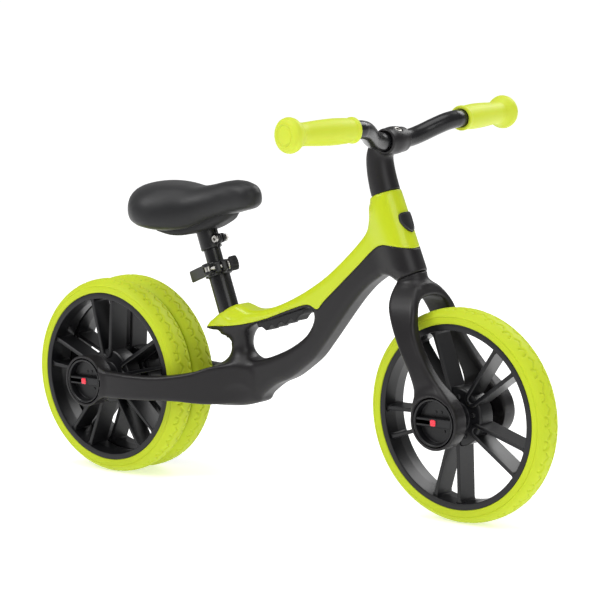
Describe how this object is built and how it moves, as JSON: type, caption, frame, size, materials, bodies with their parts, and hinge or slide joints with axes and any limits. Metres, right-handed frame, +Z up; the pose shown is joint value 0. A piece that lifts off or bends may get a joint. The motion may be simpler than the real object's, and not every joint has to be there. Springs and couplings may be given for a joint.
{
  "type": "balance bike",
  "caption": "Child balance bike with paired rear wheels, a carry-handle frame with a lime cover, a quick-release saddle clamp, foam tyres and bulb-ended handlebar grips.",
  "frame": {"origin": "on the floor, midway between the axles and on the centre plane: the bottom centre of the bounding box", "axes": "+X in the direction of travel, +Y to the rider's left, +Z up"},
  "size_m": [0.8206, 0.4328, 0.498],
  "materials": {
    "body_plastic": "satin moulded black",
    "cover_plastic": "satin moulded lime green",
    "soft_insert": "fine-grained black",
    "badge": "smooth black",
    "black_tube": "satin black powder coat",
    "clamp_black": "satin black",
    "steel": "bright zinc",
    "saddle_skin": "soft matt black skin over foam",
    "grip_rubber": "matt lime green",
    "wheel_plastic": "satin moulded black",
    "tyre_foam": "matt lime green foam",
    "screw_black": "black screw head",
    "red_button": "red"
  },
  "bodies": {
    "frame_body": {"frame": "body_plastic", "top_cover": "cover_plastic", "carry_handle_grip": "soft_insert", "seat_tube": "black_tube", "head_badge": "badge", "lower_bush": "soft_insert", "upper_bush": "soft_insert", "clamp_collar": "clamp_black", "clamp_bolt": "steel", "clamp_washer": "steel", "rear_axle_cap": "wheel_plastic"},
    "lever_body": {"clamp_lever": "clamp_black"},
    "thumb_nut_body": {"clamp_thumb_nut": "clamp_black"},
    "saddle_body": {"seat_post": "black_tube", "saddle_sleeve": "black_tube", "sleeve_bolt": "steel", "sleeve_nut": "steel", "saddle_base": "soft_insert", "saddle_cushion": "saddle_skin"},
    "steering_body": {"fork": "body_plastic", "steerer_tube": "steel", "steerer_bolt": "steel", "steerer_nut": "steel", "stem": "body_plastic", "bar_bolt": "steel", "bar_nut": "steel", "handlebar": "black_tube", "grip_left": "grip_rubber", "grip_right": "grip_rubber", "front_axle_cap": "wheel_plastic"},
    "front_wheel_body": {"front_wheel_core": "wheel_plastic", "front_wheel_tyre": "tyre_foam", "front_wheel_bearing_inner": "steel", "front_wheel_bearing_outer": "steel", "hub_screw_1": "screw_black", "hub_screw_2": "screw_black", "hub_screw_3": "screw_black", "hub_screw_4": "screw_black", "hub_screw_5": "screw_black"},
    "rear_wheel_right_body": {"rear_wheel_right_core": "wheel_plastic", "rear_wheel_right_tyre": "tyre_foam", "rear_wheel_right_bearing_inner": "steel", "rear_wheel_right_bearing_outer": "steel"},
    "rear_wheel_left_body": {"rear_wheel_left_core": "wheel_plastic", "rear_wheel_left_tyre": "tyre_foam", "rear_wheel_left_bearing_inner": "steel", "rear_wheel_left_bearing_outer": "steel"},
    "front_knob_body": {"front_release_knob": "wheel_plastic", "front_axle": "steel", "front_button_spring": "steel"},
    "rear_knob_body": {"rear_release_knob": "wheel_plastic", "rear_axle": "steel", "rear_button_spring": "steel"},
    "front_button_body": {"front_release_button": "red_button"},
    "rear_button_body": {"rear_release_button": "red_button"}
  },
  "joints": [
    {"name": "steering", "type": "hinge", "parent": "frame_body", "child": "steering_body", "pos_m": [0.208, 0, 0.294], "axis": [-0.3648, 0, 0.9311], "range_deg": [-60, 60]},
    {"name": "front_wheel_spin", "type": "hinge", "parent": "steering_body", "child": "front_wheel_body", "pos_m": [0.281, 0, 0.13], "axis": [0, 1, 0], "continuous": true},
    {"name": "rear_wheel_right_spin", "type": "hinge", "parent": "frame_body", "child": "rear_wheel_right_body", "pos_m": [-0.281, -0.02, 0.13], "axis": [0, 1, 0], "continuous": true},
    {"name": "rear_wheel_left_spin", "type": "hinge", "parent": "frame_body", "child": "rear_wheel_left_body", "pos_m": [-0.281, 0.02, 0.13], "axis": [0, 1, 0], "continuous": true},
    {"name": "saddle_height", "type": "slide", "parent": "frame_body", "child": "saddle_body", "axis": [-0.3261, 0, 0.9453], "range_m": [-0.02, 0.035]},
    {"name": "clamp_lever_turn", "type": "hinge", "parent": "frame_body", "child": "lever_body", "pos_m": [-0.09991, -0.02841, 0.28418], "axis": [-0.3261, 0, 0.9453], "range_deg": [0, 150]},
    {"name": "thumb_nut_turn", "type": "hinge", "parent": "frame_body", "child": "thumb_nut_body", "pos_m": [-0.08234, -0.00187, 0.29024], "axis": [0.5422, 0.8192, 0.1871], "continuous": true},
    {"name": "front_knob_turn", "type": "hinge", "parent": "steering_body", "child": "front_knob_body", "pos_m": [0.281, 0, 0.13], "axis": [0, 1, 0], "range_deg": [0, 90]},
    {"name": "rear_knob_turn", "type": "hinge", "parent": "frame_body", "child": "rear_knob_body", "pos_m": [-0.281, 0, 0.13], "axis": [0, 1, 0], "range_deg": [0, 90]},
    {"name": "front_button_press", "type": "slide", "parent": "front_knob_body", "child": "front_button_body", "axis": [0, 1, 0], "range_m": [0, 0.0025], "stiffness_N_per_m": 900, "springref_m": -0.001, "deforming": ["front_button_spring"]},
    {"name": "rear_button_press", "type": "slide", "parent": "rear_knob_body", "child": "rear_button_body", "axis": [0, 1, 0], "range_m": [0, 0.0025], "stiffness_N_per_m": 900, "springref_m": -0.001, "deforming": ["rear_button_spring"]}
  ]
}
